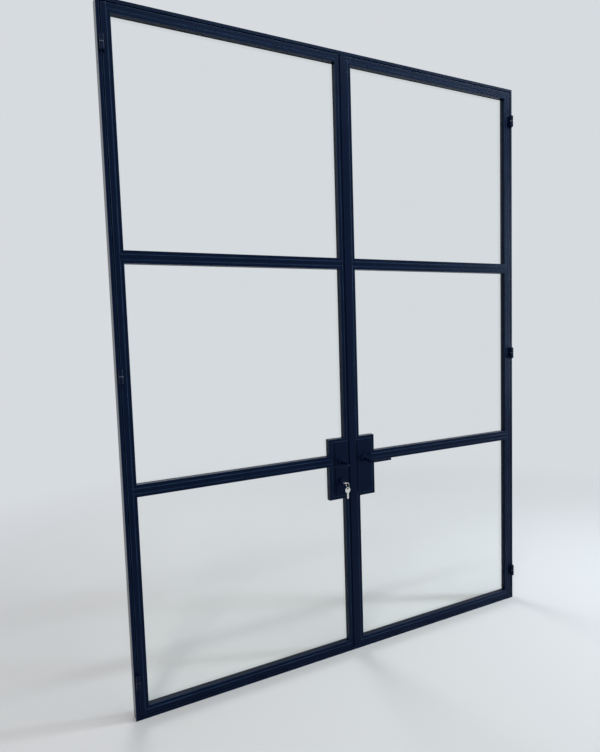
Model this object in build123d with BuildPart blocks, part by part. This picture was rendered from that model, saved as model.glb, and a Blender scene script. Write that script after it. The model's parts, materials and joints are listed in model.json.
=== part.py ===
from build123d import *
import os
from math import sqrt

os.makedirs("parts", exist_ok=True)

# Steel french doors in their own four-sided frame, in millimetres.
# X runs along the doors, Y from the hinge-barrel side to the stop side, Z up.
# The origin is under the meeting line, halfway through the leaves' depth, on the floor.
# Each leaf is measured by u, the distance from the meeting line out to its own jamb.

# Frame
frame_width = 1829.0
frame_height = 2438.0
frame_depth = 50.0
frame_face = 11.5
frame_wall = 2.0
stop_reach = 15.0
stop_thickness = 14.0
jamb_hole_radius = 3.5
jamb_hole_spacing = 680.0
jamb_hole_count = 4
jamb_hole_setback = 18.0

# Weather seal on the stops
seal_width = 6.0
seal_base = 1.5
seal_clearance = 0.4

# Leaves
leaf_depth = 31.75
leaf_gap = 3.0
meeting_gap = 3.0
hinge_stile_face = 19.0
meeting_stile_face = 22.0
rail_face = 19.0
muntin_face = 19.0
leaf_wall = 2.0
lites_per_leaf = 3

# Glazing
fin_height = 10.0
fin_thickness = 3.0
bead_height = 12.5
bead_recess = 1.0
bead_wall = 1.5
bead_joint = 0.2
glass_thickness = 6.0
glass_edge_gap = 4.0
gasket_thickness = 2.0
gasket_inset = 5.5
gasket_lip = 0.8

# Cover strip on the meeting line
astragal_width = 28.0
astragal_thickness = 5.0
astragal_relief = 0.8
astragal_end_gap = 1.0

# Lock boxes and their cover plates
box_reach = 73.0
box_height = 226.0
box_centre_z = 785.5
box_wall = 3.0
cover_lip = 8.0
cover_side_lip = 15.0
cover_thickness = 3.0
cover_gap = 0.5
cover_corner = 1.5

# Levers
lever_z = 814.0
backset = 53.0
lever_bar_height = 9.0
lever_bar_thickness = 9.0
lever_bar_corner = 2.0
lever_projection = 70.0
lever_bend = 10.0
lever_reach = 92.0
lever_end_radius = 1.5
collar_radius = 9.0
collar_length = 11.0
socket_floor = 2.0
rose_radius = 14.0
rose_thickness = 7.0
rose_edge = 1.5
turning_gap = 0.3
spindle_size = 8.0

# Lock case, latch and dead bolt
case_thickness = 16.0
case_wall = 1.5
case_height = 180.0
case_reach = 80.0
forend_width = 20.0
forend_height = 210.0
forend_thickness = 2.0
latch_height = 16.0
latch_thickness = 11.0
latch_out = 12.0
latch_tail = 28.0
latch_lip = 1.0
bolt_height = 24.0
bolt_thickness = 10.0
bolt_throw = 15.0
bolt_hold = 19.0
strike_clearance = 1.0
sliding_gap = 0.4
follower_radius = 12.0
follower_thickness = 10.0

# Round cylinders, one from each side, and the keys
lever_to_cylinder = 78.0
cylinder_radius = 12.0
cylinder_gap = 4.0
cylinder_clearance = 0.25
cylinder_head_radius = 14.5
cylinder_head_depth = 10.0
cylinder_head_taper = 1.5
cylinder_head_rim = 0.5
plug_radius = 6.5
plug_clearance = 0.05
key_thickness = 2.0
key_blade_width = 8.0
key_blade_length = 26.0
key_shank_width = 10.0
key_point = 3.0
key_end_clearance = 1.0
key_cut_count = 4
key_cut_pitch = 3.75
key_cut_start = 7.5
key_cut_radius = 1.2
key_neck = 8.0
key_bow_radius = 12.0
key_hole_radius = 3.5
key_hole_bridge = 1.6
keyway_gap = 0.2
ring_radius = 11.0
ring_wire_radius = 0.8
ring_lift = 1.8
ring_slack = 0.1
spare_bow_radius = 11.5

# Shoot bolts inside the right leaf's meeting stile
shoot_radius = 5.0
shoot_clearance = 0.05
shoot_out = 10.0
shoot_chamfer = 1.0
shoot_overtravel = 3.0
shoot_foot_height = 8.0
shoot_foot_width = 7.0
shoot_foot_reach = 24.0
shoot_end_gap = 26.0
keeper_clearance = 0.75
guide_length = 20.0

# Weld-on lift-off hinges
hinge_radius = 8.0
hinge_height = 52.0
hinge_proud = 9.5
hinge_end_margin = 146.0
hinge_pin_radius = 4.0
hinge_pin_clearance = 0.05
hinge_chamfer = 3.0
hinge_joint_gap = 0.6
hinge_cap = 5.0
hinge_tab_thickness = 4.0
hinge_tab_width = 10.0

# Places that follow from those sizes
front = -leaf_depth / 2
back = leaf_depth / 2
frame_back = front + frame_depth
stop_front = frame_back - stop_thickness
leaf_edge = meeting_gap / 2
leaf_outer = frame_width / 2 - frame_face - leaf_gap
leaf_bottom = frame_face + leaf_gap
leaf_top = frame_height - frame_face - leaf_gap
glass_u0 = leaf_edge + meeting_stile_face
glass_u1 = leaf_outer - hinge_stile_face
glass_z0 = leaf_bottom + rail_face
glass_z1 = leaf_top - rail_face
lite_height = (glass_z1 - glass_z0 - (lites_per_leaf - 1) * muntin_face) / lites_per_leaf
box_u1 = glass_u0 + box_reach
box_z0 = box_centre_z - box_height / 2
box_z1 = box_centre_z + box_height / 2
lower_z0 = glass_z0 + lite_height
lower_z1 = lower_z0 + muntin_face
upper_z0 = lower_z1 + lite_height
upper_z1 = upper_z0 + muntin_face
spindle_u = leaf_edge + backset
cylinder_z = lever_z - lever_to_cylinder
rod_u = leaf_edge + meeting_stile_face / 2
fin_y = back - fin_thickness
rear_gasket_y = fin_y - gasket_thickness
glass_y = rear_gasket_y - glass_thickness
front_gasket_y = glass_y - gasket_thickness
bead_y = front + bead_recess
bead_depth = front_gasket_y - bead_y
hinge_axis_u = leaf_outer + leaf_gap / 2
hinge_axis_y = front - hinge_proud
hinge_centres = (hinge_end_margin, frame_height / 2, frame_height - hinge_end_margin)
INTO = (0, 1, 0)

# Outline of each lite, from tube to tube, and the piece that each of its edges belongs to
top_lite = [(glass_u0, upper_z1), (glass_u1, upper_z1), (glass_u1, glass_z1), (glass_u0, glass_z1)]
top_owners = ["upper_muntin", "hinge_stile", "top_rail", "meeting_stile"]
middle_lite = [
    (box_u1, lower_z1), (glass_u1, lower_z1), (glass_u1, upper_z0),
    (glass_u0, upper_z0), (glass_u0, box_z1), (box_u1, box_z1),
]
middle_owners = ["lower_muntin", "hinge_stile", "upper_muntin", "meeting_stile", "lock_box", "lock_box"]
bottom_lite = [
    (glass_u0, glass_z0), (glass_u1, glass_z0), (glass_u1, lower_z0),
    (box_u1, lower_z0), (box_u1, box_z0), (glass_u0, box_z0),
]
bottom_owners = ["bottom_rail", "hinge_stile", "lower_muntin", "lock_box", "lock_box", "meeting_stile"]
lites = [(top_lite, top_owners), (middle_lite, middle_owners), (bottom_lite, bottom_owners)]
lite_names = ["top", "middle", "bottom"]


def elevation(side, y):
    """Plane facing a leaf at depth y, with u along its first axis and Z along its second."""
    return Plane(origin=(0, y, 0), x_dir=(side, 0, 0), z_dir=(0, -side, 0))


def save(piece, name):
    """Label a finished piece and write its STEP file."""
    piece.part.label = name
    export_step(piece.part, f"parts/{name}.step")


def inset(outline, distance):
    """Corners of a square-cornered outline moved inwards by a distance."""
    moved = []
    for i, (u, z) in enumerate(outline):
        before = outline[i - 1]
        after = outline[(i + 1) % len(outline)]
        in_u = sign(before[1] - z) + sign(z - after[1])
        in_z = sign(u - before[0]) + sign(after[0] - u)
        moved.append((u + in_u * distance, z + in_z * distance))
    return moved


def sign(value):
    """One, minus one or nought, by the sign of a value."""
    return (value > 1e-6) - (value < -1e-6)


def edge_strips(outline, width, gap=0.0):
    """Mitred strips of a given width, one inside each edge of an outline, a gap apart."""
    inner = inset(outline, width)
    strips = []
    for i in range(len(outline)):
        j = (i + 1) % len(outline)
        du = sign(outline[j][0] - outline[i][0]) * gap / 2
        dz = sign(outline[j][1] - outline[i][1]) * gap / 2
        starts = [(u + du, z + dz) for u, z in (outline[i], inner[i])]
        ends = [(u - du, z - dz) for u, z in (outline[j], inner[j])]
        strips.append([starts[0], ends[0], ends[1], starts[1]])
    return strips


def fin_strips(owner):
    """Fin outlines that belong to one member of a leaf."""
    found = []
    for outline, owners in lites:
        for strip, name in zip(edge_strips(outline, fin_height), owners):
            if name == owner:
                found.append(strip)
    return found


# Frame: four lengths of one L-shaped hollow section, mitred at the corners
def frame_bar(start, along, inward, length):
    """One side of the frame, and the seal strip on its stop."""
    run = Plane(origin=start, x_dir=inward, z_dir=along)
    near_cut = Plane(origin=start, z_dir=Vector(*along) - Vector(*inward))
    far_cut = Plane(origin=Vector(*start) + Vector(*along) * length, z_dir=-Vector(*along) - Vector(*inward))
    with BuildPart() as bar:
        with BuildSketch(run):
            with BuildLine():
                Polyline(
                    (0, front), (frame_face, front), (frame_face, stop_front),
                    (frame_face + stop_reach, stop_front), (frame_face + stop_reach, frame_back), (0, frame_back),
                    close=True,
                )
            make_face()
            offset(amount=-frame_wall, kind=Kind.INTERSECTION, mode=Mode.SUBTRACT)
        extrude(amount=length)
        split(bisect_by=near_cut, keep=Keep.TOP)
        split(bisect_by=far_cut, keep=Keep.TOP)
    seal_depth = stop_front - back - seal_clearance
    seal_x = frame_face + stop_reach - seal_width
    with BuildPart() as seal:
        with BuildSketch(run):
            with Locations((seal_x, stop_front - seal_base / 2)):
                Rectangle(seal_width, seal_base)
            with Locations((seal_x, stop_front - seal_depth / 2)):
                Circle(seal_depth / 2)
        extrude(amount=length)
        split(bisect_by=near_cut, keep=Keep.TOP)
        split(bisect_by=far_cut, keep=Keep.TOP)
    return bar, seal


half_width = frame_width / 2
sides_of_frame = {
    "frame_left_jamb": ((-half_width, 0, 0), (0, 0, 1), (1, 0, 0), frame_height),
    "frame_head": ((-half_width, 0, frame_height), (1, 0, 0), (0, 0, -1), frame_width),
    "frame_right_jamb": ((half_width, 0, frame_height), (0, 0, -1), (-1, 0, 0), frame_height),
    "frame_sill": ((half_width, 0, 0), (-1, 0, 0), (0, 0, 1), frame_width),
}
bars = {}
seals = []
for name, run in sides_of_frame.items():
    bars[name], strip = frame_bar(*run)
    seals.append(strip.part)

hole_start = frame_height / 2 - jamb_hole_spacing * (jamb_hole_count - 1) / 2
jamb_hole_y = front + jamb_hole_setback
for name, side in (("frame_left_jamb", -1), ("frame_right_jamb", 1)):
    with BuildPart() as jamb:
        add(bars[name].part)
        for k in range(jamb_hole_count):
            with BuildSketch(Plane.YZ.offset(side * half_width)):
                with Locations((jamb_hole_y, hole_start + k * jamb_hole_spacing)):
                    Circle(jamb_hole_radius)
        extrude(amount=-side * frame_face, mode=Mode.SUBTRACT)
    save(jamb, name)

for name, wall_z in (("frame_head", frame_height - frame_face), ("frame_sill", frame_face - frame_wall)):
    with BuildPart() as bar:
        add(bars[name].part)
        with BuildSketch(Plane.XY.offset(wall_z)):
            with Locations((rod_u, 0)):
                Circle(shoot_radius + keeper_clearance)
        extrude(amount=frame_wall, mode=Mode.SUBTRACT)
    save(bar, name)

with BuildPart() as frame_seals:
    add(seals)
save(frame_seals, "frame_seals")


# Hinges: the lower knuckle and its pin belong to the frame, the upper knuckle to the leaf
def knuckle(side, z0, height, tab_u0, tab_u1, bore_radius, bore_z0, bore_length, chamfered_end):
    """One half of a hinge: a bored barrel with a chamfered outer end and a weld tab."""
    with BuildPart() as half:
        with BuildSketch(Plane.XY.offset(z0)):
            with Locations((side * hinge_axis_u, hinge_axis_y)):
                Circle(hinge_radius)
        extrude(amount=height)
        chamfer(half.edges().group_by(Axis.Z)[chamfered_end], hinge_chamfer)
        with BuildSketch(Plane.XY.offset(z0 + hinge_chamfer)):
            with Locations((side * (tab_u0 + tab_u1) / 2, front - hinge_tab_thickness / 2)):
                Rectangle(abs(tab_u1 - tab_u0), hinge_tab_thickness)
        extrude(amount=height - 2 * hinge_chamfer)
        with BuildSketch(Plane.XY.offset(bore_z0)):
            with Locations((side * hinge_axis_u, hinge_axis_y)):
                Circle(bore_radius)
        extrude(amount=bore_length, mode=Mode.SUBTRACT)
    return half.part


half_barrel = (hinge_height - hinge_joint_gap) / 2
frame_knuckle_parts = []
pin_parts = []
leaf_knuckles = {-1: [], 1: []}
for side in (-1, 1):
    for centre in hinge_centres:
        low = centre - hinge_height / 2
        high = centre + hinge_joint_gap / 2
        frame_inner = leaf_outer + leaf_gap
        frame_knuckle_parts.append(knuckle(
            side, low, half_barrel, frame_inner, frame_inner + hinge_tab_width,
            hinge_pin_radius, low + hinge_cap, half_barrel - hinge_cap, 0,
        ))
        leaf_knuckles[side].append(knuckle(
            side, high, half_barrel, leaf_outer - hinge_tab_width, leaf_outer,
            hinge_pin_radius + hinge_pin_clearance, high, half_barrel - hinge_cap, -1,
        ))
        with BuildPart() as pin:
            with BuildSketch(Plane.XY.offset(low + hinge_cap)):
                with Locations((side * hinge_axis_u, hinge_axis_y)):
                    Circle(hinge_pin_radius)
            extrude(amount=hinge_height - 2 * hinge_cap - hinge_joint_gap)
        pin_parts.append(pin.part)

with BuildPart() as frame_knuckles:
    add(frame_knuckle_parts)
save(frame_knuckles, "frame_knuckles")

with BuildPart() as hinge_pins:
    add(pin_parts)
save(hinge_pins, "hinge_pins")


# Leaves: rectangular tubes with a thin fin at the back that the glass seats against
def leaf_member(side, owner, u0, u1, z0, z1, along):
    """One tube of a leaf with its share of the glazing fins."""
    wall_u = leaf_wall if along == "z" else 0
    wall_z = leaf_wall if along == "u" else 0
    middle = ((u0 + u1) / 2, (z0 + z1) / 2)
    with BuildPart() as member:
        with BuildSketch(elevation(side, front)):
            with Locations(middle):
                Rectangle(u1 - u0, z1 - z0)
        extrude(amount=leaf_depth, dir=INTO)
        with BuildSketch(elevation(side, front + leaf_wall)):
            with Locations(middle):
                Rectangle(u1 - u0 - 2 * wall_u, z1 - z0 - 2 * wall_z)
        extrude(amount=leaf_depth - 2 * leaf_wall, dir=INTO, mode=Mode.SUBTRACT)
        with BuildSketch(elevation(side, fin_y)):
            for strip in fin_strips(owner):
                with BuildLine():
                    Polyline(*strip, close=True)
                make_face()
        extrude(amount=fin_thickness, dir=INTO)
    return member


def lock_box(side):
    """Welded box that joins the meeting stile, open towards it, with its share of the fins."""
    u_mid = (glass_u0 + box_u1) / 2
    with BuildPart() as box:
        with BuildSketch(elevation(side, front)):
            with Locations((u_mid, box_centre_z)):
                Rectangle(box_reach, box_height)
        extrude(amount=leaf_depth, dir=INTO)
        stile_face = box.faces().filter_by(Axis.X).sort_by(Axis.X)[0 if side > 0 else -1]
        offset(amount=-box_wall, openings=stile_face, kind=Kind.INTERSECTION)
        with BuildSketch(elevation(side, fin_y)):
            for strip in fin_strips("lock_box"):
                with BuildLine():
                    Polyline(*strip, close=True)
                make_face()
        extrude(amount=fin_thickness, dir=INTO)
        with BuildSketch(elevation(side, front)):
            with Locations((spindle_u, lever_z)):
                Circle(collar_radius + turning_gap)
        extrude(amount=leaf_depth, dir=INTO, mode=Mode.SUBTRACT)
    return box


def cover_plate(side, facing):
    """Plate on one face of a lock box, proud of the leaf, with the lever's hole."""
    u0 = glass_u0 + cover_gap
    u1 = box_u1 - cover_side_lip
    height = box_height - 2 * cover_lip
    y = front - cover_thickness if facing < 0 else back
    with BuildPart() as plate:
        with BuildSketch(elevation(side, y)):
            with Locations(((u0 + u1) / 2, box_centre_z)):
                RectangleRounded(u1 - u0, height, cover_corner)
            with Locations((spindle_u, lever_z)):
                Circle(collar_radius + turning_gap, mode=Mode.SUBTRACT)
        extrude(amount=cover_thickness, dir=INTO)
    return plate


def rose(side, facing):
    """Round collar plate that the lever turns in."""
    base = facing * (leaf_depth / 2 + cover_thickness)
    face = Plane(origin=(side * spindle_u, base, lever_z), z_dir=(0, facing, 0))
    with BuildPart() as ring:
        with BuildSketch(face):
            Circle(rose_radius)
        extrude(amount=rose_thickness)
        chamfer(ring.faces().sort_by(Axis.Y)[-1 if facing > 0 else 0].edges(), rose_edge)
        with BuildSketch(face):
            Circle(collar_radius + turning_gap)
        extrude(amount=rose_thickness, mode=Mode.SUBTRACT)
    return ring.part


def cylinder_body(facing):
    """Round key cylinder that enters the lock from one side, with a tapered head on the cover plate."""
    seat = facing * (leaf_depth / 2 + cover_thickness)
    with BuildPart() as body:
        with BuildSketch(Plane(origin=(-spindle_u, seat, cylinder_z), z_dir=(0, facing, 0))):
            Circle(cylinder_head_radius)
        extrude(amount=cylinder_head_depth)
        chamfer(
            body.faces().sort_by(Axis.Y)[-1 if facing > 0 else 0].edges(),
            length=cylinder_head_depth - cylinder_head_rim, length2=cylinder_head_taper,
        )
        with BuildSketch(Plane(origin=(-spindle_u, seat, cylinder_z), z_dir=(0, -facing, 0))):
            Circle(cylinder_radius)
        extrude(amount=leaf_depth / 2 + cover_thickness - cylinder_gap / 2)
    return body


def lever(side, facing):
    """Lever handle: a flat bar bent once, on a round collar with a square socket."""
    start = leaf_depth / 2 + cover_thickness + turning_gap
    bar_y = leaf_depth / 2 + lever_projection - lever_bar_thickness / 2
    with BuildPart() as handle:
        with BuildLine():
            path = FilletPolyline(
                (side * spindle_u, facing * (start + collar_length - socket_floor / 2), lever_z),
                (side * spindle_u, facing * bar_y, lever_z),
                (side * (spindle_u + lever_reach), facing * bar_y, lever_z),
                radius=lever_bend,
            )
        with BuildSketch(Plane(origin=path @ 0, x_dir=(0, 0, 1), z_dir=path % 0)):
            RectangleRounded(lever_bar_height, lever_bar_thickness, lever_bar_corner)
        sweep(path=path)
        tip = handle.faces().sort_by(Axis.X)[-1 if side > 0 else 0]
        fillet(tip.edges(), lever_end_radius)
        with BuildSketch(Plane(origin=(side * spindle_u, facing * start, lever_z), z_dir=(0, facing, 0))):
            Circle(collar_radius)
        extrude(amount=collar_length)
        with BuildSketch(Plane(origin=(side * spindle_u, facing * start, lever_z), z_dir=(0, facing, 0))):
            Rectangle(spindle_size, spindle_size)
        extrude(amount=collar_length - socket_floor, mode=Mode.SUBTRACT)
    return handle


def glazing(side):
    """Panes, glazing beads and gasket loops of one leaf."""
    panes = []
    bead_bars = []
    loops = []
    for outline, owners in lites:
        with BuildPart() as pane:
            with BuildSketch(elevation(side, glass_y)):
                with BuildLine():
                    Polyline(*inset(outline, glass_edge_gap), close=True)
                make_face()
            extrude(amount=glass_thickness, dir=INTO)
        panes.append(pane)
        outer_strips = edge_strips(outline, bead_height, bead_joint)
        inner_strips = edge_strips(outline, bead_height - bead_wall)
        for outer_strip, inner_strip in zip(outer_strips, inner_strips):
            with BuildPart() as bead:
                with BuildSketch(elevation(side, bead_y)):
                    with BuildLine():
                        Polyline(*outer_strip, close=True)
                    make_face()
                extrude(amount=bead_depth, dir=INTO)
                with BuildSketch(elevation(side, bead_y + bead_wall)):
                    with BuildLine():
                        Polyline(*inner_strip, close=True)
                    make_face()
                extrude(amount=bead_depth - 2 * bead_wall, dir=INTO, mode=Mode.SUBTRACT)
            bead_bars.append(bead.part)
        loop_places = (
            (front_gasket_y, bead_height + gasket_lip),
            (rear_gasket_y, fin_height + gasket_lip),
        )
        for y, reach in loop_places:
            with BuildPart() as loop:
                with BuildSketch(elevation(side, y)):
                    with BuildLine():
                        Polyline(*inset(outline, gasket_inset), close=True)
                    make_face()
                    with BuildLine():
                        Polyline(*inset(outline, reach), close=True)
                    make_face(mode=Mode.SUBTRACT)
                extrude(amount=gasket_thickness, dir=INTO)
            loops.append(loop.part)
    return panes, bead_bars, loops


def edge_slot(side, u0, u1, z0, z1, width):
    """Straight-sided block, centred on the leaf's depth, for cutting slots or making plates."""
    with BuildPart() as block:
        with BuildSketch(elevation(side, -width / 2)):
            with Locations(((u0 + u1) / 2, (z0 + z1) / 2)):
                Rectangle(u1 - u0, z1 - z0)
        extrude(amount=width, dir=INTO)
    return block.part


case_z0 = box_centre_z - case_height / 2
case_z1 = box_centre_z + case_height / 2
forend_z0 = box_centre_z - forend_height / 2
forend_z1 = box_centre_z + forend_height / 2
top_foot_z = lever_z + shoot_end_gap
bottom_foot_z = cylinder_z - shoot_end_gap - shoot_foot_height

for side, prefix in ((-1, "left"), (1, "right")):
    save(leaf_member(side, "hinge_stile", glass_u1, leaf_outer, leaf_bottom, leaf_top, "z"), f"{prefix}_hinge_stile")
    save(leaf_member(side, "top_rail", glass_u0, glass_u1, glass_z1, leaf_top, "u"), f"{prefix}_top_rail")
    save(leaf_member(side, "bottom_rail", glass_u0, glass_u1, leaf_bottom, glass_z0, "u"), f"{prefix}_bottom_rail")
    save(leaf_member(side, "upper_muntin", glass_u0, glass_u1, upper_z0, upper_z1, "u"), f"{prefix}_upper_muntin")
    save(leaf_member(side, "lower_muntin", box_u1, glass_u1, lower_z0, lower_z1, "u"), f"{prefix}_lower_muntin")

    # The meeting stile is slotted for the lock case, and its edge for the forend or strike plate
    plain_stile = leaf_member(side, "meeting_stile", leaf_edge, glass_u0, leaf_bottom, leaf_top, "z")
    edge_wall = leaf_edge + leaf_wall
    with BuildPart() as meeting_stile:
        add(plain_stile.part)
        add(edge_slot(side, leaf_edge, edge_wall, forend_z0, forend_z1, forend_width), mode=Mode.SUBTRACT)
        if side < 0:
            slot = edge_slot(side, edge_wall, glass_u0, case_z0, case_z1, case_thickness)
            add(slot, mode=Mode.SUBTRACT)
        else:
            travel = shoot_out + shoot_overtravel
            for foot_z, low, high in ((top_foot_z, travel, 0), (bottom_foot_z, 0, travel)):
                z0 = foot_z - low - sliding_gap
                z1 = foot_z + shoot_foot_height + high + sliding_gap
                slot = edge_slot(side, glass_u0 - leaf_wall, glass_u0, z0, z1, shoot_foot_width + 2 * sliding_gap)
                add(slot, mode=Mode.SUBTRACT)
    save(meeting_stile, f"{prefix}_meeting_stile")

    box = lock_box(side)
    covers = [cover_plate(side, facing) for facing in (-1, 1)]
    if side < 0:
        cylinder_hole = Location((-spindle_u, 0, cylinder_z), (90, 0, 0))
        drilled = []
        for plain in [box] + covers:
            with BuildPart() as keyed:
                add(plain.part)
                with Locations(cylinder_hole):
                    Cylinder(cylinder_radius + cylinder_clearance, 2 * frame_depth, mode=Mode.SUBTRACT)
            drilled.append(keyed)
        box, *covers = drilled

    save(box, f"{prefix}_lock_box")
    with BuildPart() as lock_covers:
        add([cover.part for cover in covers])
    save(lock_covers, f"{prefix}_lock_covers")
    with BuildPart() as roses:
        add([rose(side, facing) for facing in (-1, 1)])
    save(roses, f"{prefix}_roses")

    save(lever(side, -1), f"{prefix}_front_lever")
    save(lever(side, 1), f"{prefix}_rear_lever")
    spindle_half = leaf_depth / 2 + cover_thickness + turning_gap + collar_length - socket_floor
    with BuildPart() as spindle:
        with Locations((side * spindle_u, 0, lever_z)):
            Box(spindle_size, 2 * spindle_half, spindle_size)
        with BuildSketch(Plane(origin=(0, -follower_thickness / 2, 0), x_dir=(1, 0, 0), z_dir=(0, -1, 0))):
            with Locations((side * spindle_u, lever_z)):
                Circle(follower_radius)
        extrude(amount=follower_thickness, dir=INTO)
    save(spindle, f"{prefix}_spindle")

    panes, bead_bars, loops = glazing(side)
    for pane, name in zip(panes, lite_names):
        save(pane, f"{prefix}_{name}_pane")
    with BuildPart() as beads:
        add(bead_bars)
    save(beads, f"{prefix}_glazing_beads")
    with BuildPart() as gaskets:
        add(loops)
    save(gaskets, f"{prefix}_gaskets")
    with BuildPart() as knuckles:
        add(leaf_knuckles[side])
    save(knuckles, f"{prefix}_leaf_knuckles")

# Cover strip over the meeting line, fixed to the left leaf and relieved over the right one
with BuildPart() as astragal:
    with BuildSketch(Plane.XY.offset(leaf_bottom + astragal_end_gap)):
        with BuildLine():
            Polyline(
                (-astragal_width / 2, front), (-astragal_width / 2, front - astragal_thickness),
                (astragal_width / 2, front - astragal_thickness), (astragal_width / 2, front - astragal_relief),
                (-leaf_edge, front - astragal_relief), (-leaf_edge, front), close=True,
            )
        make_face()
    extrude(amount=leaf_top - leaf_bottom - 2 * astragal_end_gap)
save(astragal, "astragal")


# Lock case: a flat shell behind its forend, with the latch and the dead bolt inside
case_u0 = leaf_edge + forend_thickness
case_u1 = leaf_edge + case_reach
latch_z = lever_z
bolt_z = cylinder_z
with BuildPart() as lock_case:
    add(edge_slot(-1, case_u0, case_u1, case_z0, case_z1, case_thickness))
    stile_side = lock_case.faces().sort_by(Axis.X)[-1]
    offset(amount=-case_wall, openings=stile_side, kind=Kind.INTERSECTION)
    add(edge_slot(-1, leaf_edge, case_u0, forend_z0, forend_z1, forend_width))
    for z, height, thickness in ((latch_z, latch_height, latch_thickness), (bolt_z, bolt_height, bolt_thickness)):
        z0 = z - height / 2 - sliding_gap
        z1 = z + height / 2 + sliding_gap
        add(edge_slot(-1, leaf_edge, case_u0, z0, z1, thickness + 2 * sliding_gap), mode=Mode.SUBTRACT)
    for z, radius in ((lever_z, collar_radius + turning_gap), (cylinder_z, cylinder_radius + cylinder_clearance)):
        with Locations(Location((-spindle_u, 0, z), (90, 0, 0))):
            Cylinder(radius, 2 * case_thickness, mode=Mode.SUBTRACT)
save(lock_case, "lock_case")

# Latch: its nose is bevelled on the side that meets the strike as the leaf closes
with BuildPart() as latch_bolt:
    with BuildSketch(Plane.XY.offset(latch_z - latch_height / 2)):
        with BuildLine():
            Polyline(
                (-leaf_edge - latch_tail, -latch_thickness / 2), (-leaf_edge + latch_out, -latch_thickness / 2),
                (-leaf_edge + latch_out, -latch_thickness / 4), (-leaf_edge + latch_lip, latch_thickness / 2),
                (-leaf_edge - latch_tail, latch_thickness / 2), close=True,
            )
        make_face()
    extrude(amount=latch_height)
save(latch_bolt, "latch_bolt")

bolt_length = bolt_throw + bolt_hold
with BuildPart() as dead_bolt:
    with Locations((-leaf_edge - bolt_length / 2, 0, bolt_z)):
        Box(bolt_length, bolt_thickness, bolt_height)
save(dead_bolt, "dead_bolt")

# Strike plate, flush in the edge of the right leaf
with BuildPart() as strike_plate:
    add(edge_slot(1, leaf_edge, leaf_edge + leaf_wall, forend_z0, forend_z1, forend_width))
    for z, height, thickness in ((latch_z, latch_height, latch_thickness), (bolt_z, bolt_height, bolt_thickness)):
        z0 = z - height / 2 - strike_clearance
        z1 = z + height / 2 + strike_clearance
        slot = edge_slot(1, leaf_edge, leaf_edge + leaf_wall, z0, z1, thickness + 2 * strike_clearance)
        add(slot, mode=Mode.SUBTRACT)
save(strike_plate, "strike_plate")

# Key cylinders: the front one has a turning plug with the key in it, the rear one is closed
cylinder_reach = leaf_depth / 2 + cover_thickness + cylinder_head_depth
keyway = (key_blade_width + keyway_gap, key_thickness + keyway_gap)
plug_length = cylinder_reach - cylinder_gap / 2
front_body = cylinder_body(-1)
rear_body = cylinder_body(1)
plug_face = Plane(origin=(-spindle_u, -cylinder_reach, cylinder_z), x_dir=(1, 0, 0), z_dir=(0, 1, 0))
rear_face = Plane(origin=(-spindle_u, cylinder_reach, cylinder_z), x_dir=(0, 0, 1), z_dir=(0, -1, 0))
with BuildPart() as front_cylinder:
    add(front_body.part)
    with BuildSketch(plug_face):
        Circle(plug_radius + plug_clearance)
    extrude(amount=plug_length, mode=Mode.SUBTRACT)
save(front_cylinder, "front_cylinder")
with BuildPart() as rear_cylinder:
    add(rear_body.part)
    with BuildSketch(rear_face):
        Rectangle(*keyway)
    extrude(amount=key_blade_length, mode=Mode.SUBTRACT)
save(rear_cylinder, "rear_cylinder")

with BuildPart() as cylinder_plug:
    with BuildSketch(plug_face):
        Circle(plug_radius)
    extrude(amount=plug_length)
    with BuildSketch(plug_face):
        Rectangle(*keyway)
    extrude(amount=key_blade_length, mode=Mode.SUBTRACT)
save(cylinder_plug, "cylinder_plug")


def key_blank(plane, bow_radius, neck, blade_length, hole_at):
    """Flat key: round bow at the plane's origin, blade along its first axis, ring hole behind."""
    shoulder = bow_radius + neck
    with BuildPart() as blank:
        with BuildSketch(plane.offset(-key_thickness / 2)):
            Circle(bow_radius)
            with Locations((shoulder / 2, 0)):
                Rectangle(shoulder, key_shank_width)
            with BuildLine():
                Polyline(
                    (shoulder, -key_blade_width / 2), (shoulder + blade_length - key_point, -key_blade_width / 2),
                    (shoulder + blade_length, 0), (shoulder + blade_length - key_point, key_blade_width / 2),
                    (shoulder, key_blade_width / 2), close=True,
                )
            make_face()
            for k in range(key_cut_count):
                with Locations((shoulder + key_cut_start + key_cut_pitch * k, -key_blade_width / 2)):
                    RegularPolygon(key_cut_radius, 3, rotation=90, mode=Mode.SUBTRACT)
            with Locations((hole_at, 0)):
                Circle(key_hole_radius, mode=Mode.SUBTRACT)
        extrude(amount=key_thickness)
    return blank


blade_in = key_blade_length - key_end_clearance
bow_y = -cylinder_reach - key_neck - key_bow_radius
key_hole = key_bow_radius - key_hole_bridge - key_hole_radius
key_plane = Plane(origin=(-spindle_u, bow_y, cylinder_z), x_dir=(0, 1, 0), z_dir=(0, 0, 1))
save(key_blank(key_plane, key_bow_radius, key_neck, blade_in, -key_hole), "key")

# Ring through the key's hole and the spare key hanging from it
ring_rise = ring_radius - ring_wire_radius - key_thickness / 2 - ring_lift
ring_z = cylinder_z - ring_rise
ring_y = bow_y - key_hole - sqrt(ring_radius**2 - ring_rise**2)
with BuildPart() as key_ring:
    with Locations(Location((-spindle_u, ring_y, ring_z), (0, 90, 0))):
        Torus(ring_radius, ring_wire_radius)
save(key_ring, "key_ring")

spare_hole_z = ring_z - ring_radius + ring_wire_radius + ring_slack - key_hole_radius
spare_hole = spare_bow_radius - key_hole_bridge - key_hole_radius
spare_plane = Plane(origin=(-spindle_u, ring_y, spare_hole_z - spare_hole), x_dir=(0, 0, -1), z_dir=(0, -1, 0))
save(key_blank(spare_plane, spare_bow_radius, 0, blade_in, -spare_hole), "spare_key")


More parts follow.
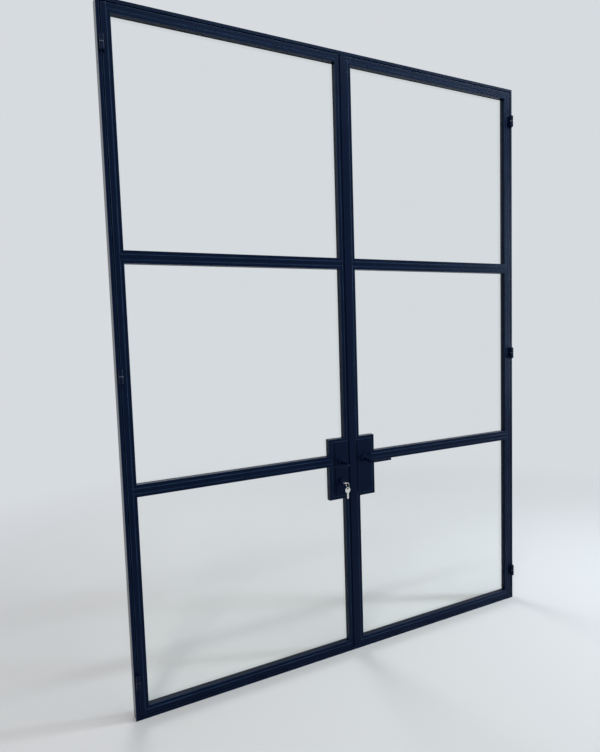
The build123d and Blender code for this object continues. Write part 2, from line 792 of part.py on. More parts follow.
# Shoot bolts: a long rod each way from the lever's gear to the head and to the sill
def shoot_bolt(tip_z, foot_z):
    """Rod in the meeting stile with a foot that reaches into the lock box."""
    near = foot_z if tip_z > foot_z else foot_z + shoot_foot_height
    with BuildPart() as bolt:
        with BuildSketch(Plane.XY.offset(min(near, tip_z))):
            with Locations((rod_u, 0)):
                Circle(shoot_radius)
        extrude(amount=abs(tip_z - near))
        chamfer(bolt.edges().group_by(Axis.Z)[-1 if tip_z > foot_z else 0], shoot_chamfer)
        add(edge_slot(1, rod_u, rod_u + shoot_foot_reach, foot_z, foot_z + shoot_foot_height, shoot_foot_width))
    return bolt


save(shoot_bolt(leaf_top + shoot_out, top_foot_z), "top_shoot_bolt")
save(shoot_bolt(leaf_bottom - shoot_out, bottom_foot_z), "bottom_shoot_bolt")

guide_width = meeting_stile_face - 2 * leaf_wall
guides = []
for z0 in (leaf_bottom, leaf_top - guide_length):
    with BuildPart() as guide:
        with BuildSketch(Plane.XY.offset(z0)):
            with Locations((rod_u, 0)):
                Rectangle(guide_width, leaf_depth - 2 * leaf_wall)
                Circle(shoot_radius + shoot_clearance, mode=Mode.SUBTRACT)
        extrude(amount=guide_length)
    guides.append(guide.part)
with BuildPart() as shoot_bolt_guides:
    add(guides)
save(shoot_bolt_guides, "shoot_bolt_guides")

# Gear case in the right lock box, open towards the stile for the shoot bolts' feet
gear_u1 = leaf_edge + case_reach
with BuildPart() as gear_case:
    add(edge_slot(1, glass_u0, gear_u1, case_z0, case_z1, case_thickness))
    gear_side = gear_case.faces().sort_by(Axis.X)[0]
    offset(amount=-case_wall, openings=gear_side, kind=Kind.INTERSECTION)
    with Locations(Location((spindle_u, 0, lever_z), (90, 0, 0))):
        Cylinder(collar_radius + turning_gap, 2 * case_thickness, mode=Mode.SUBTRACT)
save(gear_case, "gear_case")
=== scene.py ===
import json
from math import pi, radians

import bmesh
import bpy
from mathutils import Matrix, Vector


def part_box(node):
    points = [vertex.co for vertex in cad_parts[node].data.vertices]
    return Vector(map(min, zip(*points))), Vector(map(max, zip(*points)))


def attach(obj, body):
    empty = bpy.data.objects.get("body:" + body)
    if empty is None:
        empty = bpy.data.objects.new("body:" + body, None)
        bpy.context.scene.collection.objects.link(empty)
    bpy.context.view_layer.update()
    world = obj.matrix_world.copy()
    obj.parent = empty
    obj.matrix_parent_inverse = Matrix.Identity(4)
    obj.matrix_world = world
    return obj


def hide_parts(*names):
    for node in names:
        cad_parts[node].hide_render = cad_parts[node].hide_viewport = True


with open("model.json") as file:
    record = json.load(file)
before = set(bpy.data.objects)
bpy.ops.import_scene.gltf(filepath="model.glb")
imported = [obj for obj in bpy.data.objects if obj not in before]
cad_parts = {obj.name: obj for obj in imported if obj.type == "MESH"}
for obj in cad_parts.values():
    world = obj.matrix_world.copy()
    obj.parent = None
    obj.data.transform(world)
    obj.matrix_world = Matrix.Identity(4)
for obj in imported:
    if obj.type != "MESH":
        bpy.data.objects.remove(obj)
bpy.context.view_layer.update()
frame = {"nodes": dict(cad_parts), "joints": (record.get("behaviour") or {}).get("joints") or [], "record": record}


# Door frame
# Four lengths of folded steel section, mitred and welded at the corners and
# ground flush. Powder coated near-black with a navy cast, in a satin that
# keeps the slight pebble such a coat dries to.
FOLD_RADIUS = 0.0010
COAT_DARK = (0.0008, 0.0022, 0.0105, 1.0)
COAT_LIGHT = (0.0016, 0.0046, 0.0200, 1.0)
COAT_PAINTED_HIGHLIGHT = (0.013, 0.027, 0.060, 1.0)
COAT_TINT = (0.45, 0.72, 1.0, 1.0)
COAT_SPECULAR = 0.11
ARRIS = "arris"
FLAT = radians(1.0)
CREASE = radians(40.0)
SQUARE = 0.01
CLOSE = 0.00002
SAME_POINT = 0.000001
ARRIS_SEGMENTS = 3
GRAIN_DETAIL = 2.0
PATCH_DETAIL = 4.0
WEAR_AND_HIGHLIGHT_STARTS = 0.35
WEAR_AND_HIGHLIGHT_FULL = 0.65
body_of = {node: body for body, nodes in frame["record"]["behaviour"]["bodies"].items() for node in nodes}


def shader_nodes(name):
    """A new material, its node tree and its Principled shader."""
    finish = bpy.data.materials.new(name)
    finish.use_nodes = True
    tree = finish.node_tree
    return finish, tree, tree.nodes["Principled BSDF"]


def surface_group(name, inputs, outputs):
    """An empty shader group with number inputs and outputs, and its two end nodes."""
    group = bpy.data.node_groups.new(name, "ShaderNodeTree")
    for label, value in inputs.items():
        socket = group.interface.new_socket(name=label, in_out="INPUT", socket_type="NodeSocketFloat")
        socket.default_value = value
    for label in outputs:
        group.interface.new_socket(name=label, in_out="OUTPUT", socket_type="NodeSocketFloat")
    return group, group.nodes.new("NodeGroupInput"), group.nodes.new("NodeGroupOutput")


def use_group(tree, group, **values):
    """The group placed in a material with that material's own values."""
    placed = tree.nodes.new("ShaderNodeGroup")
    placed.node_tree = group
    for label, value in values.items():
        placed.inputs[label].default_value = value
    return placed


# Pebble of a sprayed or moulded surface, with broad soft patches in its gloss
pebble, given, result = surface_group("pebble", {"Grain": 900.0, "Patch": 3.0}, ("Height", "Patches"))
where = pebble.nodes.new("ShaderNodeTexCoord")
for socket, output, detail in (("Grain", "Height", GRAIN_DETAIL), ("Patch", "Patches", PATCH_DETAIL)):
    noise = pebble.nodes.new("ShaderNodeTexNoise")
    noise.inputs["Detail"].default_value = detail
    pebble.links.new(where.outputs["Object"], noise.inputs["Vector"])
    pebble.links.new(given.outputs[socket], noise.inputs["Scale"])
    pebble.links.new(noise.outputs["Fac"], result.inputs[output])

# Lighter arrises: the rounded edges carry an attribute, and a lighter colour comes and goes along them. On the
# coat this is a painted highlight for the light its arrises catch; on the plated metals it is wear.
arris_wear_and_highlight, given, result = surface_group("arris_wear_and_highlight", {"Scale": 30.0, "Least": 0.4}, ("WearAndHighlight",))
rounded = arris_wear_and_highlight.nodes.new("ShaderNodeAttribute")
rounded.attribute_name = ARRIS
where = arris_wear_and_highlight.nodes.new("ShaderNodeTexCoord")
noise = arris_wear_and_highlight.nodes.new("ShaderNodeTexNoise")
uneven = arris_wear_and_highlight.nodes.new("ShaderNodeMapRange")
uneven.inputs["From Min"].default_value = WEAR_AND_HIGHLIGHT_STARTS
uneven.inputs["From Max"].default_value = WEAR_AND_HIGHLIGHT_FULL
lightened = arris_wear_and_highlight.nodes.new("ShaderNodeMath")
lightened.operation = "MULTIPLY"
arris_wear_and_highlight.links.new(where.outputs["Object"], noise.inputs["Vector"])
arris_wear_and_highlight.links.new(given.outputs["Scale"], noise.inputs["Scale"])
arris_wear_and_highlight.links.new(noise.outputs["Fac"], uneven.inputs["Value"])
arris_wear_and_highlight.links.new(given.outputs["Least"], uneven.inputs["To Min"])
arris_wear_and_highlight.links.new(uneven.outputs["Result"], lightened.inputs[0])
arris_wear_and_highlight.links.new(rounded.outputs["Fac"], lightened.inputs[1])
arris_wear_and_highlight.links.new(lightened.outputs["Value"], result.inputs["WearAndHighlight"])


def pebbled(name, grain, patch, colours, roughness, strength, distance):
    """A material with a pebbled bump, whose colour and roughness run from one value to another in patches."""
    finish, tree, shader = shader_nodes(name)
    skin = use_group(tree, pebble, Grain=grain, Patch=patch)
    mix = tree.nodes.new("ShaderNodeMix")
    mix.data_type = "RGBA"
    mix.inputs["A"].default_value, mix.inputs["B"].default_value = colours
    tree.links.new(skin.outputs["Patches"], mix.inputs["Factor"])
    tree.links.new(mix.outputs["Result"], shader.inputs["Base Color"])
    gloss = tree.nodes.new("ShaderNodeMapRange")
    gloss.inputs["To Min"].default_value, gloss.inputs["To Max"].default_value = roughness
    tree.links.new(skin.outputs["Patches"], gloss.inputs["Value"])
    tree.links.new(gloss.outputs["Result"], shader.inputs["Roughness"])
    bump = tree.nodes.new("ShaderNodeBump")
    bump.inputs["Strength"].default_value = strength
    bump.inputs["Distance"].default_value = distance
    tree.links.new(skin.outputs["Height"], bump.inputs["Height"])
    tree.links.new(bump.outputs["Normal"], shader.inputs["Normal"])
    return finish, tree, shader


def paint_arris_wear_and_highlight(tree, shader, colour, scale, least):
    """Mixes a lighter colour into Base Color on the rounded arrises, coming and going along them: a painted
    highlight on the coat, wear on plated metal.
    """
    arris_marks = use_group(tree, arris_wear_and_highlight, Scale=scale, Least=least)
    mix = tree.nodes.new("ShaderNodeMix")
    mix.data_type = "RGBA"
    mix.inputs["B"].default_value = colour
    tree.links.new(shader.inputs["Base Color"].links[0].from_socket, mix.inputs["A"])
    tree.links.new(arris_marks.outputs["WearAndHighlight"], mix.inputs["Factor"])
    tree.links.new(mix.outputs["Result"], shader.inputs["Base Color"])


coat, tree, shader = pebbled(
    "near_black_coat", grain=1100.0, patch=2.2, colours=(COAT_DARK, COAT_LIGHT), roughness=(0.18, 0.30),
    strength=0.18, distance=0.00010,
)
# Painted highlight: a lighter navy along the coat's rounded arrises stands in for the light that they catch.
paint_arris_wear_and_highlight(tree, shader, COAT_PAINTED_HIGHLIGHT, scale=12.0, least=0.45)
shader.inputs["Specular IOR Level"].default_value = COAT_SPECULAR
shader.inputs["Specular Tint"].default_value = COAT_TINT


def finish_piece(name, shape, body, finish):
    """An object made from a bmesh, shaded smooth between its creases, riding on a body."""
    for face in shape.faces:
        face.smooth = True
    mesh = bpy.data.meshes.new(name)
    shape.to_mesh(mesh)
    shape.free()
    mesh.set_sharp_from_angle(angle=CREASE)
    mesh.materials.append(finish)
    piece = bpy.data.objects.new(name, mesh)
    bpy.context.scene.collection.objects.link(piece)
    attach(piece, body)
    return piece


def mitred(face):
    """Whether a face is a 45 degree cut across the plane of the doors."""
    return abs(face.normal.y) < SQUARE and abs(abs(face.normal.x) - abs(face.normal.z)) < SQUARE


def arrises_of(shape, joined, ease):
    """The creased edges that are long enough to round, apart from those of a face joined to a neighbour."""
    creased = [edge for edge in shape.edges if edge.is_manifold and edge.calc_face_angle() > CREASE]
    long_enough = [edge for edge in creased if edge.calc_length() > 2 * ease]
    return [edge for edge in long_enough if not any(joined(face) for face in edge.link_faces)]


def round_over(shape, arrises, ease):
    """Rounds chosen edges of a bmesh, and marks the new faces as an arris."""
    rounding = bmesh.ops.bevel(
        shape, geom=arrises, affect="EDGES", offset=ease, segments=ARRIS_SEGMENTS, profile=0.5,
        material=-1, clamp_overlap=True,
    )
    for face in rounding["faces"]:
        face[shape.faces.layers.float[ARRIS]] = 1.0


def eased(node, ease, joined=mitred, rear_ease=None, finish=coat):
    """A node's metal with its arrises rounded, apart from those round a joint.

    With a rear ease, only the edges of its front and rear faces are rounded, each face by its own amount."""
    shape = bmesh.new()
    shape.from_mesh(frame["nodes"][node].data)
    shape.faces.layers.float.new(ARRIS)
    bmesh.ops.remove_doubles(shape, verts=shape.verts, dist=SAME_POINT)
    bmesh.ops.dissolve_limit(shape, angle_limit=FLAT, verts=shape.verts, edges=shape.edges)
    if rear_ease is None:
        round_over(shape, arrises_of(shape, joined, ease), ease)
    else:
        for face_y, amount in zip((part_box(node)[0][1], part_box(node)[1][1]), (ease, rear_ease)):
            arrises = [
                edge for edge in arrises_of(shape, joined, amount)
                if all(abs(vertex.co.y - face_y) < CLOSE for vertex in edge.verts)
            ]
            round_over(shape, arrises, amount)
    piece = finish_piece(f"{node}_eased", shape, body_of[node], finish)
    even = piece.modifiers.new("even_shading", "WEIGHTED_NORMAL")
    even.keep_sharp = True
    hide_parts(node)


for node in ("frame_head", "frame_sill", "frame_left_jamb", "frame_right_jamb"):
    eased(node, FOLD_RADIUS)


# Leaf stiles, rails and glazing bars
# Thin-walled rectangular steel tube, butted, welded and ground flush. The thin
# fin at the back of each tube is what the glass seats against.
TUBE_RADIUS = 0.0022
FIN_EASE = 0.0006
SIDES = {"left": -1, "right": 1}


def butted(face):
    """Whether a face is a bar's welded end, or the mitred end of its fin."""
    return abs(face.normal.x) > 1.0 - SQUARE or mitred(face)


for side in SIDES:
    for stile in ("hinge_stile", "meeting_stile"):
        eased(f"{side}_{stile}", TUBE_RADIUS, rear_ease=FIN_EASE)
    for bar in ("top_rail", "bottom_rail", "upper_muntin", "lower_muntin"):
        eased(f"{side}_{bar}", TUBE_RADIUS, joined=butted, rear_ease=FIN_EASE)


# Glazing beads
# Hollow rectangular beads, cut to length for each edge of a pane and pressed in
# on the hinge side. Their mitres meet as fine lines at the corners.
BEAD_RADIUS = 0.0018

for side in SIDES:
    eased(f"{side}_glazing_beads", BEAD_RADIUS, rear_ease=FIN_EASE)


# Panes
# Clear float glass, 6 mm thick and polished, with the slow waviness that float
# glass has and a trace of wiping marks. It lets lamp light through.
GLASS_WIPED = (0.985, 0.995, 0.990, 1.0)
GLASS_MARKED = (0.960, 0.980, 0.975, 1.0)
GLASS_SHADOW = (0.93, 0.96, 0.95, 1.0)
GLASS_IOR = 1.5
LEVELS = ("top", "middle", "bottom")

glass, tree, shader = pebbled(
    "clear_float_glass", grain=1.3, patch=5.0, colours=(GLASS_MARKED, GLASS_WIPED), roughness=(0.010, 0.0),
    strength=0.3, distance=0.003,
)
shader.inputs["IOR"].default_value = GLASS_IOR
shader.inputs["Transmission Weight"].default_value = 1.0
open_way = tree.nodes.new("ShaderNodeBsdfTransparent")
open_way.inputs["Color"].default_value = GLASS_SHADOW
ray = tree.nodes.new("ShaderNodeLightPath")
choose = tree.nodes.new("ShaderNodeMixShader")
tree.links.new(ray.outputs["Is Shadow Ray"], choose.inputs["Fac"])
tree.links.new(shader.outputs["BSDF"], choose.inputs[1])
tree.links.new(open_way.outputs["BSDF"], choose.inputs[2])
tree.links.new(choose.outputs["Shader"], tree.nodes["Material Output"].inputs["Surface"])


def refinish(node, finish):
    """A CAD node kept as it is, in a new finish."""
    mesh = frame["nodes"][node].data
    mesh.materials.clear()
    mesh.materials.append(finish)


for side in SIDES:
    for level in LEVELS:
        refinish(f"{side}_{level}_pane", glass)


# Gaskets and frame seals
# Black extruded rubber: a strip on each side of every pane, and a tubular seal
# on the frame's stops. Matte, with a fine moulding grain and a little bloom.
RUBBER_BLACK = (0.006, 0.006, 0.007, 1.0)
RUBBER_BLOOM = (0.016, 0.016, 0.017, 1.0)

rubber, tree, shader = pebbled(
    "black_seal_rubber", grain=2400.0, patch=14.0, colours=(RUBBER_BLACK, RUBBER_BLOOM),
    roughness=(0.72, 0.86), strength=0.3, distance=0.0001,
)

for node in ("left_gaskets", "right_gaskets", "frame_seals"):
    refinish(node, rubber)


# Astragal
# Flat steel strip welded along the edge of the left leaf, over the gap between
# the two leaves, and coated with it.
STRIP_RADIUS = 0.0012

eased("astragal", STRIP_RADIUS)


# Hinges
# Lift-off barrels turned from steel bar with chamfered ends: the lower half is
# welded to the jamb and the upper half to the leaf by a flat tab, with a ripple
# of weld round it. A zinc-plated pin and a thin washer sit between the halves.
BARREL_EASE = 0.0003
HINGE_CENTRES = (0.146, 1.219, 2.292)
TAB_NEAR = 0.0033
TAB_FAR = 0.0230
TAB_WELDED = 0.0085
RIPPLE_RADIUS = 0.0012
RIPPLE_PITCH = 0.0010
RIPPLE_FACETS = 8
RIPPLE_RINGS = 5
WASHER_RADIUS = 0.0077
WASHER_HOLE = 0.0042
WASHER_THICKNESS = 0.0005
WASHER_FACETS = 32
ZINC_DULL = (0.34, 0.34, 0.35, 1.0)
ZINC_BRIGHT = (0.55, 0.55, 0.56, 1.0)
ZINC_RUBBED = (0.68, 0.68, 0.68, 1.0)

zinc, tree, shader = pebbled(
    "zinc_plated_steel", grain=700.0, patch=60.0, colours=(ZINC_DULL, ZINC_BRIGHT), roughness=(0.26, 0.42),
    strength=0.15, distance=0.00004,
)
paint_arris_wear_and_highlight(tree, shader, ZINC_RUBBED, scale=90.0, least=0.2)
shader.inputs["Metallic"].default_value = 1.0

for node in ("frame_knuckles", "left_leaf_knuckles", "right_leaf_knuckles"):
    eased(node, BARREL_EASE)
refinish("hinge_pins", zinc)


def joint_place(name):
    """A point on a joint's axis, with the doors shut."""
    return next(joint["pos_m"] for joint in frame["joints"] if joint["name"] == name)


def lay_weld(shape, start, end):
    """A run of overlapping ripples of weld from one point to another, added to a bmesh."""
    run = Vector(end) - Vector(start)
    count = round(run.length / RIPPLE_PITCH)
    turn = run.to_track_quat("Z", "Y").to_matrix().to_4x4()
    flattened = Matrix.Diagonal((1.0, 1.0, RIPPLE_PITCH / RIPPLE_RADIUS, 1.0))
    for step in range(count + 1):
        place = Matrix.Translation(Vector(start) + run * step / count) @ turn @ flattened
        bmesh.ops.create_uvsphere(
            shape, u_segments=RIPPLE_FACETS, v_segments=RIPPLE_RINGS, radius=RIPPLE_RADIUS, matrix=place,
        )


def weld_round_tab(shape, edge_x, into, face_y, low, high):
    """The weld along a tab's free edge and back along its two ends."""
    inner_x = edge_x + into * TAB_WELDED
    lay_weld(shape, (edge_x, face_y, low), (edge_x, face_y, high))
    for end in (low, high):
        lay_weld(shape, (edge_x, face_y, end), (inner_x, face_y, end))


tab_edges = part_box("frame_knuckles")
frame_welds = bmesh.new()
washers = bmesh.new()
for side, sign in SIDES.items():
    axis_x, axis_y, _ = joint_place(f"{side}_leaf_swing")
    frame_edge = tab_edges[1 if sign > 0 else 0][0]
    leaf_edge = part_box(f"{side}_leaf_knuckles")[0 if sign > 0 else 1][0]
    face_y = tab_edges[1][1]
    leaf_welds = bmesh.new()
    for centre in HINGE_CENTRES:
        weld_round_tab(frame_welds, frame_edge, -sign, face_y, centre - TAB_FAR, centre - TAB_NEAR)
        weld_round_tab(leaf_welds, leaf_edge, sign, face_y, centre + TAB_NEAR, centre + TAB_FAR)
        place = Matrix.Translation((axis_x, axis_y, centre - WASHER_THICKNESS / 2))
        rims = [
            bmesh.ops.create_circle(washers, segments=WASHER_FACETS, radius=radius, matrix=place)["verts"]
            for radius in (WASHER_RADIUS, WASHER_HOLE)
        ]
        edges = {edge for rim in rims for vertex in rim for edge in vertex.link_edges}
        flat = bmesh.ops.bridge_loops(washers, edges=list(edges))["faces"]
        raised = bmesh.ops.extrude_face_region(washers, geom=flat)["geom"]
        top = [item for item in raised if isinstance(item, bmesh.types.BMVert)]
        bmesh.ops.translate(washers, vec=(0.0, 0.0, WASHER_THICKNESS), verts=top)
    finish_piece(f"{side}_leaf_hinge_welds", leaf_welds, f"{side}_leaf", coat)
finish_piece("frame_hinge_welds", frame_welds, "frame", coat)
bmesh.ops.recalc_face_normals(washers, faces=washers.faces)
finish_piece("hinge_washers", washers, "frame", zinc)


# Lock boxes and cover plates
# A welded steel box joins each meeting stile to the lower glazing bar. A plate
# closes it on each face, held by a small button-head screw at every corner,
# coated with the rest.
BOX_RADIUS = 0.0015
PLATE_RADIUS = 0.0012
CORNER_INSET = 0.0065
COVER_SCREW_RADIUS = 0.0026
COVER_SCREW_PROUD = 0.0012
HEAD_FACETS = 28
HEAD_ROOT = 0.0003
HEAD_ROUNDING = 0.6
SOCKET_SIDES = 6
SOCKET_WIDTH = 0.5
SOCKET_DEPTH = 0.9


def add_screw(shape, spot, facing, radius, proud):
    """A round-edged screw head with a hexagon socket, added to a bmesh, proud of a spot on a surface."""
    facing = Vector(facing)
    turn = facing.to_track_quat("Z", "Y").to_matrix().to_4x4()
    place = Matrix.Translation(Vector(spot) + facing * proud) @ turn
    rim = bmesh.ops.create_circle(shape, segments=HEAD_FACETS, radius=radius, matrix=place)["verts"]
    socket = bmesh.ops.create_circle(
        shape, segments=SOCKET_SIDES, radius=radius * SOCKET_WIDTH, matrix=place,
    )["verts"]
    loops = [list({edge for vertex in loop for edge in vertex.link_edges}) for loop in (rim, socket)]
    bmesh.ops.bridge_loops(shape, edges=loops[0] + loops[1])
    for loop, depth in zip(loops, (proud + HEAD_ROOT, proud * SOCKET_DEPTH)):
        wall = bmesh.ops.extrude_edge_only(shape, edges=loop)["geom"]
        sunk = {item for item in wall if isinstance(item, bmesh.types.BMVert)}
        bmesh.ops.translate(shape, vec=facing * -depth, verts=list(sunk))
        base = [item for item in wall if isinstance(item, bmesh.types.BMEdge) and set(item.verts) <= sunk]
        bmesh.ops.edgeloop_fill(shape, edges=base)
    round_over(shape, loops[0], proud * HEAD_ROUNDING)
    bmesh.ops.recalc_face_normals(shape, faces=shape.faces)


for side, sign in SIDES.items():
    eased(
        f"{side}_lock_box", BOX_RADIUS,
        joined=lambda face, towards_stile=-sign: mitred(face) or face.normal.x * towards_stile > 1.0 - SQUARE,
    )
    eased(f"{side}_lock_covers", PLATE_RADIUS)
    low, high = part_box(f"{side}_lock_covers")
    screws = bmesh.new()
    screws.faces.layers.float.new(ARRIS)
    for x in (low[0] + CORNER_INSET, high[0] - CORNER_INSET):
        for z in (low[2] + CORNER_INSET, high[2] - CORNER_INSET):
            add_screw(screws, (x, low[1], z), (0.0, -1.0, 0.0), COVER_SCREW_RADIUS, COVER_SCREW_PROUD)
            add_screw(screws, (x, high[1], z), (0.0, 1.0, 0.0), COVER_SCREW_RADIUS, COVER_SCREW_PROUD)
    finish_piece(f"{side}_cover_screws", screws, f"{side}_leaf", coat)


# Levers and roses
# Flat steel bar bent once and welded to a turned collar, which turns in a round
# chamfered rose. A grub screw under each collar grips the square spindle.
LEVER_EASE = 0.0003
GRUB_RADIUS = 0.0019
GRUB_PROUD = 0.0005
GRUB_FROM_ROSE = 0.0021

for side in SIDES:
    eased(f"{side}_roses", LEVER_EASE)
    low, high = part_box(f"{side}_roses")
    spindle_x = joint_place(f"{side}_lever_turn")[0]
    grubs = bmesh.new()
    grubs.faces.layers.float.new(ARRIS)
    for face, rose_y, outwards in (("front", low[1], -1), ("rear", high[1], 1)):
        lever = f"{side}_{face}_lever"
        eased(lever, LEVER_EASE)
        spot = (spindle_x, rose_y + outwards * GRUB_FROM_ROSE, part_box(lever)[0][2])
        add_screw(grubs, spot, (0.0, 0.0, -1.0), GRUB_RADIUS, GRUB_PROUD)
    finish_piece(f"{side}_lever_grub_screws", grubs, f"{side}_lever", coat)


# Lock cases, bolts and their plates
# Pressed and machined steel, zinc plated, with the soft cloudy spangle that
# plating leaves. The forend and the strike plate are held by a flat-headed screw
# at each end, and they show only when a leaf stands open.
PLATE_EASE = 0.0003
PLATE_SCREW_RADIUS = 0.0032
PLATE_SCREW_PROUD = 0.0006
PLATE_END = 0.008

for node in ("lock_case", "latch_bolt", "dead_bolt", "strike_plate", "gear_case"):
    eased(node, PLATE_EASE, finish=zinc)
for node in ("left_spindle", "right_spindle", "top_shoot_bolt", "bottom_shoot_bolt"):
    refinish(node, zinc)
for plate, corner, facing in (("lock_case", 1, 1.0), ("strike_plate", 0, -1.0)):
    low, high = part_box(plate)
    screws = bmesh.new()
    screws.faces.layers.float.new(ARRIS)
    for z in (low[2] + PLATE_END, high[2] - PLATE_END):
        spot = ((low, high)[corner][0], 0.0, z)
        add_screw(screws, spot, (facing, 0.0, 0.0), PLATE_SCREW_RADIUS, PLATE_SCREW_PROUD)
    finish_piece(f"{plate}_screws", screws, body_of[plate], zinc)


# Shoot bolt guides
# Black nylon blocks in the two ends of the right leaf's meeting stile, moulded
# with a faint grain, that the shoot bolts slide through.
NYLON_BLACK = (0.010, 0.010, 0.011, 1.0)
NYLON_GREY = (0.020, 0.020, 0.021, 1.0)

nylon, tree, shader = pebbled(
    "black_nylon", grain=1800.0, patch=30.0, colours=(NYLON_BLACK, NYLON_GREY), roughness=(0.42, 0.56),
    strength=0.2, distance=0.00008,
)

refinish("shoot_bolt_guides", nylon)


# Cylinders
# Round turned cylinders with a tapered head, one from each side. Coated with
# the doors, the plug too, so that only the key in it is bright.
HEAD_EASE = 0.0003
PLUG_EASE = 0.0002

for node in ("front_cylinder", "rear_cylinder"):
    eased(node, HEAD_EASE)
eased("cylinder_plug", PLUG_EASE)


# Keys and ring
# Two stamped and milled blanks, nickel plated, one of them in the cylinder. The
# other hangs from a split ring of flat spring wire, two turns side by side that
# cross over once.
KEY_EASE = 0.0002
COIL_THICKNESS = 0.00078
COIL_WIDTH = 0.00150
COIL_STEP = 0.00080
COIL_FACETS = 10
TURN_STEP = radians(5.0)
FLAT_STEPS = 66
CROSSING_STEPS = 6
NICKEL_DULL = (0.66, 0.65, 0.62, 1.0)
NICKEL_BRIGHT = (0.82, 0.81, 0.79, 1.0)
BRASS_SHOWING = (0.72, 0.62, 0.42, 1.0)

nickel, tree, shader = pebbled(
    "nickel_plate", grain=1500.0, patch=90.0, colours=(NICKEL_DULL, NICKEL_BRIGHT), roughness=(0.16, 0.30),
    strength=0.12, distance=0.00003,
)
paint_arris_wear_and_highlight(tree, shader, BRASS_SHOWING, scale=150.0, least=0.2)
shader.inputs["Metallic"].default_value = 1.0

for node in ("key", "spare_key"):
    eased(node, KEY_EASE, finish=nickel)

low, high = (Vector(corner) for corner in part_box("key_ring"))
centre = (low + high) / 2
coil_radius = (high.z - low.z - COIL_WIDTH) / 2
section = Matrix.Diagonal((COIL_THICKNESS / 2, COIL_WIDTH / 2, 1.0, 1.0))
start = centre + Vector((-COIL_STEP / 2, -coil_radius, 0.0))
ring = bmesh.new()
bmesh.ops.create_circle(
    ring, cap_ends=True, segments=COIL_FACETS, radius=1.0, matrix=Matrix.Translation(start) @ section,
)
end = list(ring.faces)
for steps, sideways in ((FLAT_STEPS, 0.0), (CROSSING_STEPS, COIL_STEP / CROSSING_STEPS), (FLAT_STEPS, 0.0)):
    end = bmesh.ops.spin(
        ring, geom=end, cent=centre, axis=(1.0, 0.0, 0.0), angle=TURN_STEP * steps, steps=steps,
        dvec=(sideways, 0.0, 0.0),
    )["geom_last"]
    end = [item for item in end if isinstance(item, bmesh.types.BMFace)]
bmesh.ops.recalc_face_normals(ring, faces=ring.faces)
split_ring = finish_piece("split_ring", ring, "key_ring", nickel)
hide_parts("key_ring")


# Floor and light
# A plain pale floor that runs into a pale surround. A broad soft lamp stands on
# the left, a cooler one on the right and a weaker one behind, and a long narrow
# one overhead draws the edges of the steel. The panes mirror none of them.
FLOOR_COLOUR = (0.62, 0.60, 0.58, 1.0)
SURROUND = (0.68, 0.71, 0.74, 1.0)
AMBIENT = (0.84, 0.90, 1.0, 1.0)
AMBIENT_LEVEL = 0.45
FLOOR_REACH = 40.0
FLOOR_ROUGHNESS = 0.9
FADE_FROM = 1.2
FADE_TO = 3.8


def shows_surround(tree):
    """A mask that is 1 for rays from the camera, from gloss and through glass."""
    ray = tree.nodes.new("ShaderNodeLightPath")
    mask = ray.outputs["Is Camera Ray"]
    for kind in ("Is Glossy Ray", "Is Transmission Ray"):
        either = tree.nodes.new("ShaderNodeMath")
        either.operation = "MAXIMUM"
        tree.links.new(mask, either.inputs[0])
        tree.links.new(ray.outputs[kind], either.inputs[1])
        mask = either.outputs[0]
    return mask


ground = bmesh.new()
bmesh.ops.create_grid(ground, x_segments=1, y_segments=1, size=FLOOR_REACH)
mesh = bpy.data.meshes.new("studio_floor")
ground.to_mesh(mesh)
ground.free()
floor = bpy.data.objects.new("studio_floor", mesh)
bpy.context.scene.collection.objects.link(floor)
floor_finish, tree, shader = shader_nodes("pale_floor")
shader.inputs["Base Color"].default_value = FLOOR_COLOUR
shader.inputs["Roughness"].default_value = FLOOR_ROUGHNESS
where = tree.nodes.new("ShaderNodeTexCoord")
distance = tree.nodes.new("ShaderNodeVectorMath")
distance.operation = "LENGTH"
fade = tree.nodes.new("ShaderNodeMapRange")
fade.interpolation_type = "SMOOTHSTEP"
fade.inputs["From Min"].default_value = FADE_FROM
fade.inputs["From Max"].default_value = FADE_TO
faded = tree.nodes.new("ShaderNodeMath")
faded.operation = "MULTIPLY"
beyond = tree.nodes.new("ShaderNodeEmission")
beyond.inputs["Color"].default_value = SURROUND
choose = tree.nodes.new("ShaderNodeMixShader")
tree.links.new(where.outputs["Object"], distance.inputs[0])
tree.links.new(distance.outputs["Value"], fade.inputs["Value"])
tree.links.new(fade.outputs["Result"], faded.inputs[0])
tree.links.new(shows_surround(tree), faded.inputs[1])
tree.links.new(faded.outputs[0], choose.inputs["Fac"])
tree.links.new(shader.outputs["BSDF"], choose.inputs[1])
tree.links.new(beyond.outputs["Emission"], choose.inputs[2])
tree.links.new(choose.outputs["Shader"], tree.nodes["Material Output"].inputs["Surface"])
mesh.materials.append(floor_finish)

world = bpy.data.worlds.new("studio")
world.use_nodes = True
bpy.context.scene.world = world
tree = world.node_tree
ambient = tree.nodes["Background"]
ambient.inputs["Color"].default_value = AMBIENT
ambient.inputs["Strength"].default_value = AMBIENT_LEVEL
surround = tree.nodes.new("ShaderNodeBackground")
surround.inputs["Color"].default_value = SURROUND
choose = tree.nodes.new("ShaderNodeMixShader")
tree.links.new(shows_surround(tree), choose.inputs["Fac"])
tree.links.new(ambient.outputs["Background"], choose.inputs[1])
tree.links.new(surround.outputs["Background"], choose.inputs[2])
tree.links.new(choose.outputs["Shader"], tree.nodes["World Output"].inputs["Surface"])

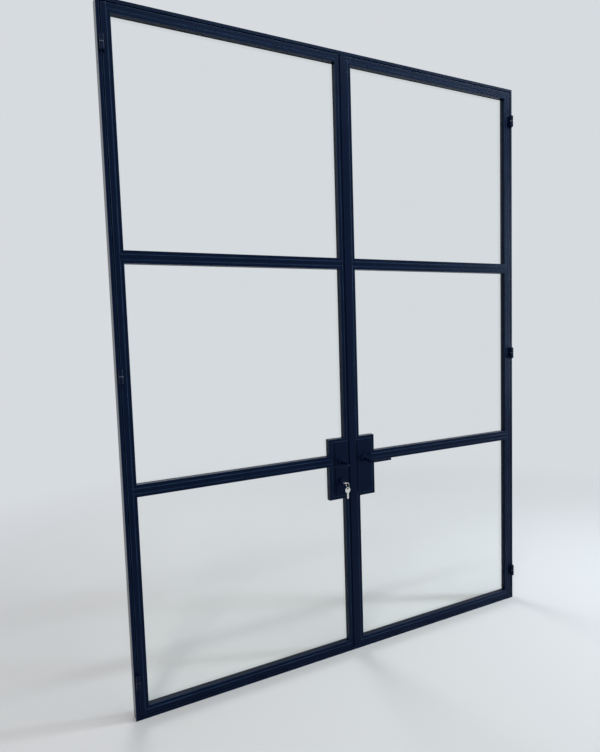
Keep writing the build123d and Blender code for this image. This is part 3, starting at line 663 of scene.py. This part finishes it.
# Each lamp's place, the point it faces, its size, its power in watts and its colour
LAMPS = {
    "left_lamp": ((-3.0, -3.2, 2.9), (0.0, 0.0, 1.2), (1.2, 1.8), 80.0, (1.0, 0.98, 0.95)),
    "right_lamp": ((3.4, -1.3, 1.7), (0.2, 0.0, 1.5), (0.4, 2.2), 100.0, (0.72, 0.88, 1.0)),
    "overhead_lamp": ((1.4, -1.2, 3.5), (1.4, 0.0, 1.4), (4.0, 0.3), 50.0, (0.90, 0.96, 1.0)),
    "back_lamp": ((0.0, 3.2, 2.8), (0.0, 0.0, 1.2), (1.6, 1.6), 60.0, (0.96, 0.98, 1.0)),
}
unmirrored = bpy.data.collections.new("lamps_not_mirrored_in")
for side in SIDES:
    for level in LEVELS:
        unmirrored.objects.link(frame["nodes"][f"{side}_{level}_pane"])
for member in unmirrored.collection_objects:
    member.light_linking.link_state = "EXCLUDE"
for name, (place, target, size, power, colour) in LAMPS.items():
    lamp = bpy.data.lights.new(name, "AREA")
    lamp.shape = "RECTANGLE"
    lamp.size, lamp.size_y = size
    lamp.energy = power
    lamp.color = colour
    holder = bpy.data.objects.new(name, lamp)
    holder.location = place
    holder.rotation_euler = (Vector(target) - Vector(place)).to_track_quat("-Z", "Y").to_euler()
    holder.visible_camera = False
    holder.visible_transmission = False
    holder.light_linking.receiver_collection = unmirrored
    bpy.context.scene.collection.objects.link(holder)


# Camera
# Where the photograph was taken from: left of the doors, at chest height, with
# the slight pitch and roll of a camera held in the hand.
CAMERA_PLACE = Vector((-1.1862, -1.9411, 1.3474))
YAW = radians(26.43)
PITCH = radians(4.494)
ROLL = radians(1.816)
LENS = 26.457
SENSOR = 36.0

aim = Matrix.Rotation(-YAW, 3, "Z") @ Matrix.Rotation(pi / 2 - PITCH, 3, "X")
turn = aim @ Matrix.Rotation(-ROLL, 3, "Z")
camera = bpy.data.cameras.new("camera")
camera.sensor_fit = "VERTICAL"
camera.sensor_height = SENSOR
camera.lens = LENS
viewer = bpy.data.objects.new("camera", camera)
viewer.matrix_world = Matrix.Translation(CAMERA_PLACE) @ turn.to_4x4()
bpy.context.scene.collection.objects.link(viewer)
bpy.context.scene.camera = viewer
bpy.context.scene.view_settings.view_transform = "Standard"
